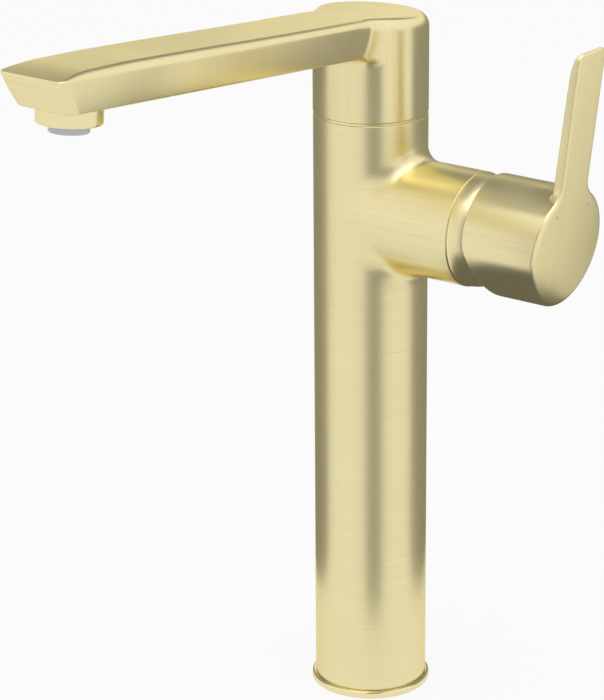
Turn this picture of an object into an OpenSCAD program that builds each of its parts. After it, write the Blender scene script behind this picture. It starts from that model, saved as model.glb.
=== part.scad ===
// Tall single-lever basin mixer with a swivel spout and a side lever.
// +Z is up, z = 0 is the underside of the base ring, and the column stands on the Z axis.
// The lever's branch points along +X, and the spout points along -Y.

/* [Column] */
// Outside diameter of the column, the branch and the collar
body_d = 46; // [44:0.5:50]
// Wall of the column where nothing is fitted into it
body_wall = 3; // [2.5:0.1:3.2]
// Height of the seam between the riser and the tee
seam_z = 152; // [140:1:160]
// Height of the tee's top face, where the swivel starts
tee_top_z = 246.3; // [244:0.1:256]
// Bore of the tee between its seam and the branch
tee_bore_d = 32; // [28:0.5:33]
// Length of the tee's spigot inside the riser
spigot_len = 13; // [8:0.5:20]
// Free gap past the end of a spigot or a screw
end_gap = 1; // [0.6:0.1:1.5]
// Radial gap of a seated or screwed joint between two fixed pieces
seat_gap = 0.05; // [0.02:0.01:0.08]

/* [Base] */
// How far the base ring stands out past the column
ring_lip = 1.5; // [1:0.1:3]
// Height of the base ring
ring_h = 3.4; // [3:0.1:6]
// Rounding of the base ring's outer edges
ring_round = 1.1; // [0.5:0.1:1.4]
// Thickness of the base gasket, flush with the ring's underside
gasket_h = 1.4; // [1:0.1:1.6]
// Width of the base gasket
gasket_w = 1.8; // [1.2:0.1:2]
// Height of the inlet foot
foot_h = 26; // [22:1:34]

/* [Water inlets] */
// Distance between the hot and the cold inlet
inlet_pitch = 15; // [14.5:0.1:15.5]
// Core diameter of an M10 x 1 hose port
hose_port_d = 9; // [8.9:0.05:9.2]
// Depth of a hose port
hose_port_depth = 13; // [10:0.5:14]
// Core diameter of the M8 stud hole
stud_port_d = 6.8; // [6.6:0.1:7]
// Depth of the stud hole
stud_port_depth = 16; // [12:1:20]
// Distance of the stud hole from the column's axis
stud_offset = 12.5; // [12:0.1:13.5]
// Outside diameter of a supply tube
tube_d = 8; // [7:0.1:8.2]
// Wall of a supply tube
tube_wall = 1; // [0.8:0.1:1.4]
// Depth of a supply tube's socket in the foot
tube_socket = 8; // [6:0.5:9]
// Distance of a supply tube's upper end below the branch's axis
tube_end_drop = 8; // [7.5:0.1:9]

/* [Branch] */
// Height of the branch's axis
branch_z = 206.9; // [200:0.1:210]
// Distance of the branch's end face from the column's axis
branch_end_x = 52.2; // [51:0.1:56]
// Rounding of the inner corner between column and branch
crotch_round = 6.4; // [2:0.2:8]
// Distance from the branch's end face to the lever's pivot
pivot_offset = 2.8; // [2:0.1:3.5]
// Length of the collar, whose dome is centred on the branch's end face
dome_len = 17.3; // [16:0.1:17.6]
// How far the collar stands back from the branch's surface
dome_step = 0.4; // [0.2:0.1:0.8]
// Wall of the collar's dome
dome_wall = 2; // [1.5:0.1:2.2]

/* [Valve block] */
// Diameter of the valve block
block_d = 34; // [33:0.1:34.2]
// Distance of the block's back face behind the column's axis
block_back = 11; // [10:0.1:11.5]
// Distance of the block's front face from the column's axis
block_front = 27; // [26:0.1:28]
// Diameter of the inlet passages in the block and the cartridge
passage_d = 5.2; // [4.6:0.1:5.4]
// Distance of the cartridge's inlet ports from its middle plane
port_side = 6.5; // [6.4:0.1:6.8]
// Depth of the cartridge's inlet ports under its axis
port_drop = 3; // [2.9:0.1:3.2]
// Diameter of the mixed water passage, on the cartridge's axis
mixed_d = 7; // [6:0.1:7.2]
// Height over the branch's axis at which the mixed passage widens
mixed_step = 5; // [4.5:0.1:6]

/* [Cartridge] */
// Diameter of the cartridge housing
cartridge_d = 35; // [34.6:0.1:35.2]
// Wall of the cartridge housing
cartridge_wall = 1.9; // [1.6:0.1:2.1]
// Thickness of the rubber port seal
port_seal_t = 1.2; // [0.8:0.1:1.4]
// Thickness of the cartridge base
cartridge_base_t = 3; // [2.5:0.1:3.3]
// Thickness of each ceramic disc
disc_t = 3; // [2.6:0.1:3.2]
// Diameter of the fixed ceramic disc
fixed_disc_d = 30.6; // [29:0.1:30.8]
// Diameter of the moving ceramic disc
moving_disc_d = 24.2; // [24:0.1:24.4]
// Width of the moving disc's inlet well
well_w = 17; // [16:0.1:17.4]
// Height of the moving disc's inlet well
well_h = 4.4; // [4:0.1:4.6]
// Width of the moving disc's outlet well
outlet_well_w = 6; // [5:0.1:6.4]
// Gap between the two ceramic discs
disc_gap = 0.05; // [0.02:0.01:0.08]
// Diameter of the rotor's barrel
rotor_d = 25; // [24:0.1:25.6]
// Distance of the rotor's flange behind the pivot
rotor_back = 8.7; // [8.4:0.1:9]
// Length of the rotor's flange
rotor_flange_t = 4; // [3:0.1:4.2]
// How far the rotor's barrel stands out past the pivot
rotor_out = 7; // [6:0.1:7.5]
// Distance of the cartridge's shoulder behind the branch's end
shoulder_back = 2.2; // [1.8:0.1:2.6]
// How far the cartridge's neck stands out past the pivot
neck_out = 5; // [4:0.1:5.5]
// Diameter of the cartridge's neck
neck_d = 29; // [28.6:0.1:29.4]
// Radial clearance of the turning and sliding fits
run_gap = 0.05; // [0.02:0.01:0.08]
// Free gap between moving pieces that don't guide each other
free_gap = 0.35; // [0.3:0.05:0.4]

/* [Lever movement] */
// Tilt of the lever from shut to full flow
lever_tilt = 24; // [20:1:24]
// Side of the square stem
stem_w = 8; // [7.4:0.1:8.2]
// Length of the stem's inner arm, from the pivot to its ball
stem_in = 15; // [14.4:0.1:15.3]
// Length of the stem outside the pivot
stem_out = 34; // [32:0.5:35]
// Diameter of the pivot pin
pivot_pin_d = 3; // [2.6:0.1:3.4]
// Diameter of the ball end
ball_d = 4.8; // [4.4:0.1:5]
// Thickness of the stem's inner arm
arm_w = 4.4; // [4:0.1:4.6]
// Wall of the bushing between stem and handle
bushing_wall = 1; // [0.8:0.1:1.2]

/* [Retaining nut] */
// Wall of the nut around the cartridge
nut_wall = 1.9; // [1.6:0.1:2]
// Depth of the nut's thread in the branch
nut_depth = 8.2; // [7:0.1:8.6]
// How far the nut stands out of the branch and carries the collar
nut_out = 4.2; // [3:0.1:4.4]

/* [Handle] */
// Diameter of the handle's hub
hub_d = 47.5; // [47.4:0.1:49]
// Distance from the pivot to the hub's back edge
hub_back = 5; // [4.6:0.1:6]
// Slant of the lower half of the hub's back edge
back_slant = 21; // [20:1:24]
// Distance from the pivot to the middle of the hub's face
hub_front = 38.4; // [38:0.1:42]
// Outward lean of the hub's face and the lever
face_lean = 7.2; // [6:0.2:10]
// Rounding of the hub's front edge
hub_round = 2.6; // [1:0.1:3.5]
// Width of the lever
lever_w = 18.1; // [15:0.1:19]
// Length of the lever from the middle of the face
lever_len = 80.2; // [74:0.1:86]
// Thickness of the lever at its root
lever_root_t = 4.9; // [4.2:0.1:5.4]
// Thickness of the lever at its tip
lever_tip_t = 4.1; // [3.4:0.1:4.6]
// Rounding of the lever's tip corners
lever_corner = 3.2; // [2:0.1:5]
// Rounding of the back of the lever's tip
lever_tip_round = 3.2; // [1.5:0.1:3.3]
// Distance of each mark from the middle of the face
mark_side = 11; // [9:0.1:13]
// Height of the marks over the middle of the face
mark_up = 15.4; // [13:0.1:17]
// Diameter of a mark
mark_d = 2; // [1.6:0.1:3]
// Depth of a mark
mark_depth = 0.5; // [0.4:0.1:0.8]
// Diameter of the handle's set screw
grub_d = 5; // [4:0.1:5.2]
// Distance of the set screw from the pivot
grub_out = 28.5; // [27.5:0.1:30]
// Length of the set screw
grub_len = 9; // [7:0.5:11]
// Thickness of the plug over the set screw
plug_t = 2.2; // [1.5:0.1:2.6]

/* [Spout] */
// Height of the head's top face on the column's axis
head_top_z = 287.9; // [286.8:0.1:292]
// Upward slope of the spout
spout_slope = 5.4; // [4.5:0.1:6]
// Length of the spout from the axis to the top edge of its tip
spout_len = 202.9; // [190:0.1:215]
// Width of the spout
spout_w = 30.2; // [29:0.1:33]
// How much narrower the spout is at its underside
spout_draft = 3.4; // [2:0.1:4]
// Thickness of the spout
spout_t = 15.4; // [14.8:0.1:17]
// Rounding of the spout's top edges
spout_round = 2.6; // [1.5:0.1:3]
// Rounding of the head's top edge
head_round = 5.2; // [3:0.1:6]
// Length over which the spout's top slopes down to its tip
tip_ramp = 20; // [14:0.5:24]
// How far the tip's face is cut back at its underside
tip_cut = 7.5; // [5:0.1:9]
// Rounding of the tip's corners at the top
tip_top_round = 3.4; // [2:0.1:5]
// Rounding of the tip's corners at the underside
tip_low_round = 7; // [4:0.1:8]
// Width of the water channel in the spout
channel_w = 14; // [12:0.1:15]
// Height of the water channel in the spout
channel_h = 7; // [6:0.1:7.2]
// Rounding between the spout's sides and the head
root_round = 8; // [5:0.5:10]

/* [Swivel] */
// Height of the slip ring
slip_h = 1.1; // [0.8:0.1:1.6]
// How far the slip ring stands back from the column's surface
slip_inset = 0.3; // [0.2:0.1:0.5]
// Width of the slip ring's face
slip_wall = 3.3; // [3.2:0.1:3.6]
// Thickness of the head over the water chamber
head_wall = 5.9; // [5.4:0.1:7]
// How far the head stands out past the column
head_lip = 0.1; // [0.05:0.05:0.3]
// Diameter of the nipple's spindle
spindle_d = 22; // [21:0.1:22.4]
// Bore of the nipple
nipple_bore = 14; // [12:0.1:14.4]
// Thickness of the nipple's flange
flange_t = 2; // [1.6:0.1:2.4]
// Diameter of the nipple's screwed shank
shank_d = 24; // [23:0.1:25]
// Diameter of the nipple's lower spigot
nose_d = 16; // [15.4:0.1:17]
// Depth of the nipple's lower spigot in the valve block
nose_depth = 4.5; // [3.5:0.1:5]
// Thickness of the seal under the nipple's lower spigot
nose_seal_t = 1.2; // [0.8:0.1:1.4]
// Cross-section diameter of the swivel O-rings
oring_d = 2.4; // [2:0.1:2.6]
// How much wider than its O-ring a groove is
oring_play = 0.3; // [0.2:0.05:0.4]
// Width of the lands beside the nipple's grooves
groove_land = 2; // [1.6:0.1:2.2]
// Wall of the glide sleeve
sleeve_wall = 2; // [1.6:0.1:2.2]
// Length of the glide sleeve
sleeve_len = 5; // [4:0.1:6]
// Swivel of the spout to each side
swivel_half = 60; // [50:1:62]
// Diameter of the stop pin
stop_pin_d = 3; // [2.4:0.1:3.2]
// Height of the stop pin over the tee's top face
stop_pin_h = 3; // [2.6:0.1:3.4]
// Depth of the stop pin in the tee
stop_pin_depth = 5; // [4:0.1:7]
// Diameter of the spout's set screw
lock_d = 5; // [4:0.1:5.4]
// Height of the spout's set screw over the nipple's flange
lock_rise = 6; // [5.8:0.1:7]
// Diameter of the nipple's groove for the set screw
lock_groove_d = 19; // [18.4:0.1:19.6]
// Width of the nipple's groove for the set screw
lock_groove_w = 5.8; // [5.6:0.1:6.2]

/* [Aerator] */
// Distance of the aerator's axis from the tip's top edge
aerator_back = 22.4; // [19:0.1:24]
// Diameter of the aerator housing's visible part
aerator_d = 24.4; // [23:0.1:25]
// Height of the aerator housing's visible part
aerator_h = 6.2; // [4:0.1:7]
// Edge bevel of the aerator housing
aerator_bevel = 0.8; // [0.4:0.1:1.2]
// Diameter of the housing's screwed shank
aerator_shank_d = 20.6; // [20:0.1:21.4]
// Length of the housing's screwed shank
aerator_shank = 5; // [4:0.1:5.6]
// Bore of the aerator housing
aerator_bore = 17; // [16.6:0.1:17.6]
// Diameter of the insert's outlet
nozzle_d = 15; // [14:0.1:15.6]
// How far the insert stands out of the housing
nozzle_out = 3.2; // [1:0.1:4]
// Thickness of the lip that holds the insert
nozzle_lip = 1.6; // [1:0.1:2]
// Thickness of the screen
screen_t = 0.6; // [0.4:0.1:0.8]
// Thickness of the aerator washer
washer_t = 1.4; // [1:0.1:1.6]

/* [Hidden] */
$fn = 96;

gold = [0.80, 0.70, 0.45];
brass = [0.72, 0.58, 0.30];
steel = [0.72, 0.73, 0.75];
copper = [0.78, 0.48, 0.32];
rubber = [0.10, 0.10, 0.11];
plastic = [0.88, 0.88, 0.86];
lilac = [0.62, 0.60, 0.70];
ceramic = [0.95, 0.95, 0.93];

// Reach of a cut past the faces it opens
past = 1;
// Small step that keeps two cut faces from lying in one plane
hair = 0.01;
// How deep the edges of the web between column and branch lie under their surfaces
crotch_sink = 0.06;

// Column
body_r = body_d / 2;
inner_r = body_r - body_wall;
bore_r = inner_r - end_gap;
socket_z = seam_z - spigot_len - end_gap;
ring_r = body_r + ring_lip;
gasket_mid = (inner_r + ring_r) / 2 - 0.25;

// Valve block and branch
block_r = block_d / 2;
tube_y = inlet_pitch / 2;
tube_z0 = foot_h - tube_socket;
tube_z1 = branch_z - tube_end_drop;
nose_z = branch_z + block_r - nose_depth;
pivot_x = branch_end_x + pivot_offset;
seal_x = block_front;
base_x = seal_x + port_seal_t;
fixed_x = base_x + cartridge_base_t;
moving_x = fixed_x + disc_t + disc_gap;
cartridge_r = cartridge_d / 2;
nut_r = cartridge_r + nut_wall;
nut_x0 = branch_end_x - nut_depth;
nut_x1 = branch_end_x + nut_out;
neck_x = branch_end_x - shoulder_back;
neck_end = pivot_x + neck_out;
flange_x1 = pivot_x - rotor_back;
flange_x0 = flange_x1 - rotor_flange_t;
carrier_x1 = flange_x0 - free_gap;
stem_rise = lever_tilt / 2;
disc_drop = stem_in * sin(stem_rise);
rotor_slot_h = 2 * (stem_w / 2 / cos(stem_rise) + rotor_out * tan(stem_rise) + free_gap);

// Handle
hub_r = hub_d / 2;
dome_r = body_r - dome_step;
low_edge = hub_back + hub_r * tan(back_slant);
edge_reach = pivot_offset + low_edge * cos(lever_tilt) - hub_r * sin(lever_tilt);
cavity_r = sqrt(pow(dome_r, 2) + pow(pivot_offset, 2) - 2 * pivot_offset * edge_reach) + free_gap;
face_x = pivot_x + hub_front;
socket_w = stem_w + 2 * bushing_wall + 2 * seat_gap;
grub_x = pivot_x + grub_out;
stem_low = grub_out * tan(stem_rise) - stem_w / 2 / cos(stem_rise);

// Head, spout and swivel
head_r = body_r + head_lip;
head_z0 = tee_top_z + slip_h;
spindle_r = spindle_d / 2;
flange_top = tee_top_z + flange_t;
lock_z = flange_top + lock_rise;
sleeve_z0 = lock_z + lock_groove_w / 2 + groove_land;
sleeve_z1 = sleeve_z0 + sleeve_len;
seal_groove_h = oring_d + oring_play;
lower_seal_z = sleeve_z1 + groove_land + seal_groove_h / 2;
upper_seal_z = lower_seal_z + groove_land + seal_groove_h;
spindle_top = upper_seal_z + groove_land + seal_groove_h / 2;
seal_bore_r = spindle_r + 1;
sleeve_r = spindle_r + run_gap + sleeve_wall;
groove_r = seal_bore_r - run_gap - oring_d;
chamber_top = head_top_z - head_wall;
recess_top = tee_top_z + stop_pin_h + end_gap;
slip_r = body_r - slip_inset;
pocket_r = slip_r - slip_wall - free_gap;
stop_r = pocket_r - free_gap - stop_pin_d / 2;
recess_r = stop_r - stop_pin_d / 2 - free_gap;
flange_r = recess_r - free_gap;
pocket_half = swivel_half + asin((stop_pin_d / 2 + free_gap) / stop_r);
aerator_y = spout_len - aerator_back;
shank_r = aerator_shank_d / 2;
washer_w = aerator_shank + washer_t;
low_w = spout_w - spout_draft;

// Turns a shape that stands on z = 0 so that it points along +X from the branch's axis.
module along_branch(x) {
    translate([x, 0, branch_z]) rotate([0, 90, 0]) children();
}

// A plain rod along the branch from x0 to x1, moved off the axis by y and z.
module branch_rod(r, x0, x1, y = 0, z = 0) {
    translate([x0, y, branch_z + z]) rotate([0, 90, 0]) cylinder(r = r, h = x1 - x0);
}

// A flat ring on z = 0.
module ring(outer, inner, h) {
    difference() {
        cylinder(r = outer, h = h);
        translate([0, 0, -past]) cylinder(r = inner, h = h + 2 * past);
    }
}

// Profile of an O-ring's groove or of the ring itself.
module torus(mid, r) {
    rotate_extrude() translate([mid, 0]) circle(r = r);
}

// The lever's own frame: origin at the pivot, +X along the stem.
module stem_frame() {
    translate([pivot_x, 0, branch_z]) rotate([0, -stem_rise, 0]) children();
}

// The hub face's own frame: +Z out of the face, +X down the face, origin at its middle.
module face_frame() {
    translate([face_x, 0, branch_z]) rotate([0, 90 + face_lean, 0]) children();
}

// The spout's own frame: origin on the axis at the head's top, -Y along the spout.
module spout_frame() {
    translate([0, 0, head_top_z]) rotate([-spout_slope, 0, 0]) children();
}

// The aerator's own frame: origin on the spout's underside, +Z up into the spout.
module aerator_frame() {
    spout_frame() translate([0, -aerator_y, -spout_t]) children();
}

// A slab of radius r with a rounded upper edge that flares out below it, top face on z = 0.
module rounded_slab(r, edge, depth) {
    bend = 15;
    rim_x = r - edge + edge * cos(bend);
    rim_z = -edge + edge * sin(bend);
    rotate_extrude() {
        translate([0, -edge]) square([r - edge, edge]);
        polygon([
            [0, -edge], [r - edge, -edge], [rim_x, rim_z],
            [rim_x + (depth + rim_z) * tan(bend), -depth], [0, -depth]
        ]);
        intersection() {
            translate([r - edge, -edge]) circle(r = edge);
            translate([r - edge, -edge]) square([edge, edge]);
        }
    }
}

// ---------- Column ----------

module base_ring() {
    color(gold) difference() {
        rotate_extrude() difference() {
            union() {
                square([ring_r - ring_round, ring_h]);
                translate([0, ring_round]) square([ring_r, ring_h - 2 * ring_round]);
                for (z = [ring_round, ring_h - ring_round])
                    translate([ring_r - ring_round, z]) circle(r = ring_round);
            }
            translate([-past, -past]) square([inner_r + past, ring_h + 2 * past]);
            translate([gasket_mid - gasket_w / 2 - seat_gap, -past])
                square([gasket_w + 2 * seat_gap, gasket_h + past]);
        }
    }
}

module base_gasket() {
    color(rubber) ring(gasket_mid + gasket_w / 2, gasket_mid - gasket_w / 2, gasket_h);
}

module inlet_foot() {
    color(brass) difference() {
        cylinder(r = inner_r - seat_gap, h = foot_h);
        for (side = [-1, 1]) translate([0, side * tube_y, 0]) {
            translate([0, 0, -past]) cylinder(d = hose_port_d, h = hose_port_depth + past);
            cylinder(r = tube_d / 2 - tube_wall, h = foot_h);
            translate([0, 0, tube_z0]) cylinder(r = tube_d / 2 + seat_gap, h = foot_h);
        }
        translate([-stud_offset, 0, -past]) cylinder(d = stud_port_d, h = stud_port_depth + past);
    }
}

module riser() {
    color(gold) difference() {
        translate([0, 0, ring_h]) cylinder(r = body_r, h = seam_z - ring_h);
        cylinder(r = inner_r, h = foot_h);
        cylinder(r = bore_r, h = seam_z);
        translate([0, 0, socket_z]) cylinder(r = inner_r, h = seam_z);
    }
}

module supply_tube(side) {
    color(copper) translate([0, side * tube_y, tube_z0])
        ring(tube_d / 2, tube_d / 2 - tube_wall, tube_z1 - tube_z0);
}

module hot_tube() {
    supply_tube(-1);
}

module cold_tube() {
    supply_tube(1);
}

// ---------- Tee, branch and valve block ----------

// Centre of a ball that rolls along the inner corner of column and branch, at angle a round both.
function crotch_centre(a) = (body_r + crotch_round - crotch_sink) * [cos(a), sin(a), cos(a)];

// Point on the ball's inner side, with t from 0 at the column to 1 at the branch.
function crotch_point(a, t) =
    let (
        centre = crotch_centre(a),
        to_column = [cos(a), sin(a), 0],
        to_branch = [0, sin(a), cos(a)],
        turn = acos(max(-1, min(1, to_column * to_branch))),
        k1 = sin((1 - t) * turn) / sin(turn),
        k2 = sin(t * turn) / sin(turn)
    ) centre - crotch_round * (k1 * to_column + k2 * to_branch);

// Web that fills the upper inner corner between column and branch. Its back lies inside both.
module crotch_web() {
    steps = 24;
    arc = 6;
    reach = 78;
    core = 0.75;
    angles = [for (i = [0:steps]) -reach + 2 * reach * i / steps];
    n = arc + 2;
    points = [for (a = angles) for (j = [0:arc + 1])
        j <= arc ? crotch_point(a, j / arc) : core * body_r * [cos(a), sin(a), cos(a)]];
    sides = [for (i = [0:steps - 1]) for (j = [0:n - 1])
        [(i + 1) * n + j, (i + 1) * n + (j + 1) % n, i * n + (j + 1) % n, i * n + j]];
    first = [for (j = [0:n - 1]) j];
    last = [for (j = [n - 1:-1:0]) steps * n + j];
    polyhedron(points = points, faces = concat(sides, [first, last]), convexity = 4);
}

module tee_body() {
    color(gold) difference() {
        union() {
            translate([0, 0, seam_z]) cylinder(r = body_r, h = tee_top_z - seam_z);
            translate([0, 0, seam_z - spigot_len]) cylinder(r = inner_r - seat_gap, h = spigot_len + past);
            branch_rod(body_r, 0, branch_end_x);
            translate([0, 0, branch_z]) crotch_web();
            translate([0, 0, branch_z]) mirror([0, 0, 1]) crotch_web();
        }
        translate([0, 0, seam_z - spigot_len - past])
            cylinder(d = tee_bore_d, h = branch_z - seam_z + spigot_len);
        branch_rod(block_r + seat_gap, -block_back - seat_gap, branch_end_x);
        branch_rod(cartridge_r + 2 * seat_gap, block_front, branch_end_x + past);
        branch_rod(nut_r + seat_gap, nut_x0 - end_gap / 2, branch_end_x + past);
        translate([0, 0, branch_z]) cylinder(d = shank_d + 2 * seat_gap, h = tee_top_z);
        translate([0, stop_r, tee_top_z - stop_pin_depth])
            cylinder(d = stop_pin_d + 2 * seat_gap, h = stop_pin_depth + past);
    }
}

// The two inlet ports and the outlet port of the cartridge, as rods to cut away.
module port_holes(x0, x1) {
    for (side = [-1, 1]) branch_rod(passage_d / 2, x0, x1, side * port_side, -port_drop);
    branch_rod(mixed_d / 2, x0, x1);
}

module valve_block() {
    color(brass) difference() {
        branch_rod(block_r, -block_back, block_front);
        for (side = [-1, 1]) translate([0, side * tube_y, branch_z - block_r - past]) {
            cylinder(r = tube_d / 2 + seat_gap, h = block_r + past - tube_end_drop);
            cylinder(d = passage_d, h = block_r + past - port_drop);
        }
        port_holes(0, block_front + past);
        translate([0, 0, branch_z]) cylinder(d = mixed_d, h = block_r);
        translate([0, 0, branch_z + mixed_step]) cylinder(d = nipple_bore - 2, h = block_r);
        translate([0, 0, nose_z - nose_seal_t]) cylinder(d = nose_d + 2 * seat_gap, h = block_r);
    }
}

module port_seal() {
    color(rubber) difference() {
        branch_rod(fixed_disc_d / 2, seal_x, base_x);
        port_holes(seal_x - past, base_x + past);
    }
}

module cartridge_base() {
    color(plastic) difference() {
        branch_rod(cartridge_r, base_x, fixed_x);
        port_holes(base_x - past, fixed_x + past);
    }
}

module cartridge_housing() {
    color(plastic) difference() {
        union() {
            branch_rod(cartridge_r, fixed_x, neck_x);
            branch_rod(neck_d / 2, neck_x - hair, neck_end);
        }
        branch_rod(cartridge_r - cartridge_wall, fixed_x - past, flange_x1 + run_gap * 2);
        branch_rod(rotor_d / 2 + run_gap, fixed_x, neck_end + past);
    }
}

module fixed_disc() {
    color(ceramic) difference() {
        branch_rod(fixed_disc_d / 2, fixed_x, fixed_x + disc_t);
        port_holes(fixed_x - past, fixed_x + disc_t + past);
    }
}

// Disc and carrier stand low while the valve is shut, and slide up as the lever opens it.
module moving_disc() {
    depth = disc_t / 2;
    shut_gap = 0.7;
    well_top = branch_z - port_drop - passage_d / 2 - shut_gap;
    outlet_top = branch_z + mixed_d / 2;
    color(ceramic) difference() {
        branch_rod(moving_disc_d / 2, moving_x, moving_x + disc_t, 0, -disc_drop);
        translate([moving_x - past, -well_w / 2, well_top - well_h]) cube([depth + past, well_w, well_h]);
        translate([moving_x - past, -outlet_well_w / 2, well_top - well_h])
            cube([depth + past, outlet_well_w, outlet_top - well_top + well_h]);
    }
}

module disc_carrier() {
    x0 = moving_x + disc_t;
    slot_w = arm_w + 2 * free_gap;
    slot_h = ball_d + 2 * free_gap;
    color(plastic) difference() {
        branch_rod(moving_disc_d / 2, x0, carrier_x1, 0, -disc_drop);
        translate([x0 - past, -slot_w / 2, branch_z - disc_drop - slot_h / 2])
            cube([carrier_x1 - x0 + 2 * past, slot_w, slot_h]);
    }
}

module rotor() {
    color(plastic) difference() {
        union() {
            branch_rod(cartridge_r - cartridge_wall - free_gap, flange_x0, flange_x1);
            branch_rod(rotor_d / 2, flange_x0, pivot_x + rotor_out);
        }
        translate([flange_x0 - past, -stem_w / 2 - 2 * run_gap, branch_z - rotor_slot_h / 2])
            cube([pivot_x + rotor_out - flange_x0 + 2 * past, stem_w + 4 * run_gap, rotor_slot_h]);
        translate([pivot_x, rotor_d / 2 + past, branch_z]) rotate([90, 0, 0])
            cylinder(d = pivot_pin_d + 2 * seat_gap, h = rotor_d + 2 * past);
    }
}

module pivot_pin() {
    len = rotor_d - 2 * end_gap;
    color(steel) translate([pivot_x, len / 2, branch_z]) rotate([90, 0, 0])
        cylinder(d = pivot_pin_d, h = len);
}

module stem() {
    arm_start = stem_w / 2 + 0.6;
    color(steel) stem_frame() difference() {
        union() {
            translate([-arm_start, -stem_w / 2, -stem_w / 2]) cube([arm_start + stem_out, stem_w, stem_w]);
            translate([-stem_in, -arm_w / 2, -arm_w / 2]) cube([stem_in, arm_w, arm_w]);
            translate([-stem_in, arm_w / 2, 0]) rotate([90, 0, 0]) cylinder(d = ball_d, h = arm_w);
        }
        translate([0, stem_w, 0]) rotate([90, 0, 0])
            cylinder(d = pivot_pin_d + 2 * run_gap, h = 2 * stem_w);
    }
}

module retaining_nut() {
    color(brass) difference() {
        branch_rod(nut_r, nut_x0, nut_x1);
        branch_rod(cartridge_r + seat_gap, nut_x0 - past, neck_x);
        branch_rod(neck_d / 2 + seat_gap, nut_x0, nut_x1 + past);
    }
}

// Dome that is screwed on the retaining nut and closes the branch round the lever's pivot.
module collar() {
    thread_end = nut_x1 + 2 * seat_gap - branch_end_x;
    color(gold) along_branch(branch_end_x) rotate_extrude() difference() {
        intersection() {
            circle(r = dome_r);
            square([dome_r, dome_len]);
        }
        translate([-past, -past]) square([nut_r + seat_gap + past, thread_end + past]);
        intersection() {
            circle(r = dome_r - dome_wall);
            translate([-past, thread_end - hair]) square([dome_r + 2 * past, dome_r]);
        }
    }
}

// ---------- Handle ----------

// Outline of the lever's front, from inside the hub up to the tip, in the face's frame.
module lever_outline() {
    half = lever_w / 2;
    translate([-lever_len + lever_corner, -half]) square([lever_len - lever_corner, lever_w]);
    translate([-lever_len, -half + lever_corner]) square([lever_len, lever_w - 2 * lever_corner]);
    for (side = [-1, 1])
        translate([-lever_len + lever_corner, side * (half - lever_corner)]) circle(r = lever_corner);
}

// Side view of the lever: flat front on z = 0, thinner towards the tip, tip rounded at the back.
module lever_side() {
    tip = -lever_len;
    round_x = tip + lever_tip_round;
    polygon([[0, 0], [0, -lever_root_t], [round_x, -lever_tip_t], [round_x, 0]]);
    translate([tip, -lever_tip_t + lever_tip_round])
        square([lever_tip_round + hair, lever_tip_t - lever_tip_round]);
    intersection() {
        translate([round_x, -lever_tip_t + lever_tip_round]) circle(r = lever_tip_round);
        translate([tip, -lever_tip_t]) square([lever_tip_round + hair, lever_tip_round + hair]);
    }
}

module lever_blade() {
    intersection() {
        translate([0, 0, -2 * lever_root_t]) linear_extrude(3 * lever_root_t) lever_outline();
        translate([0, lever_w, 0]) rotate([90, 0, 0]) linear_extrude(2 * lever_w) lever_side();
    }
}

module handle() {
    cut = 2 * hub_d;
    color(gold) difference() {
        union() {
            intersection() {
                branch_rod(hub_r, pivot_x + hub_back, face_x + hub_d);
                face_frame() rounded_slab(hub_r + 0.1, hub_round, hub_d);
            }
            face_frame() lever_blade();
        }
        // spherical hollow that swings round the collar's dome
        translate([pivot_x, 0, branch_z]) sphere(r = cavity_r);
        // lower half of the back edge, cut away so that the hub can tilt
        translate([pivot_x + hub_back, -cut / 2, branch_z]) rotate([0, 90 - back_slant, 0])
            mirror([0, 0, 1]) cube([cut, cut, cut / 2]);
        stem_frame() translate([0, -socket_w / 2, -socket_w / 2])
            cube([stem_out + seat_gap, socket_w, socket_w]);
        translate([grub_x, 0, branch_z - hub_d]) cylinder(d = grub_d, h = hub_d + stem_low);
        for (side = [-1, 1]) mark_place(side) translate([0, 0, -mark_depth])
            cylinder(d = mark_d, h = mark_depth + past);
    }
}

module mark_place(side) {
    face_frame() translate([-mark_up, side * mark_side, 0]) children();
}

module hot_mark() {
    color([0.85, 0.45, 0.15]) mark_place(-1) translate([0, 0, -mark_depth])
        cylinder(d = mark_d, h = mark_depth);
}

module cold_mark() {
    color([0.45, 0.55, 0.70]) mark_place(1) translate([0, 0, -mark_depth])
        cylinder(d = mark_d, h = mark_depth);
}

module stem_bushing() {
    outer = socket_w - 2 * seat_gap;
    inner = stem_w + 2 * seat_gap;
    start = sqrt(pow(cavity_r, 2) - pow(outer / 2, 2));
    color(plastic) stem_frame() difference() {
        translate([start, -outer / 2, -outer / 2]) cube([stem_out - start, outer, outer]);
        translate([0, -inner / 2, -inner / 2]) cube([stem_out + past, inner, inner]);
        translate([grub_out / cos(stem_rise), 0, 0]) rotate([0, stem_rise, 0])
            translate([0, 0, -outer]) cylinder(d = grub_d, h = outer);
    }
}

module handle_screw() {
    hex_d = grub_d / 2;
    tilt_room = grub_d / 2 * tan(stem_rise);
    top = branch_z + stem_low - tilt_room;
    color(steel) difference() {
        translate([grub_x, 0, top - grub_len]) cylinder(d = grub_d - 2 * seat_gap, h = grub_len);
        translate([grub_x, 0, top - grub_len - past]) cylinder(d = hex_d, h = grub_len / 3 + past, $fn = 6);
    }
}

module handle_plug() {
    sink = 0.3;
    color(gold) translate([grub_x, 0, branch_z - hub_r + sink])
        cylinder(d = grub_d - 2 * seat_gap, h = plug_t);
}

// ---------- Swivel ----------

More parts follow.
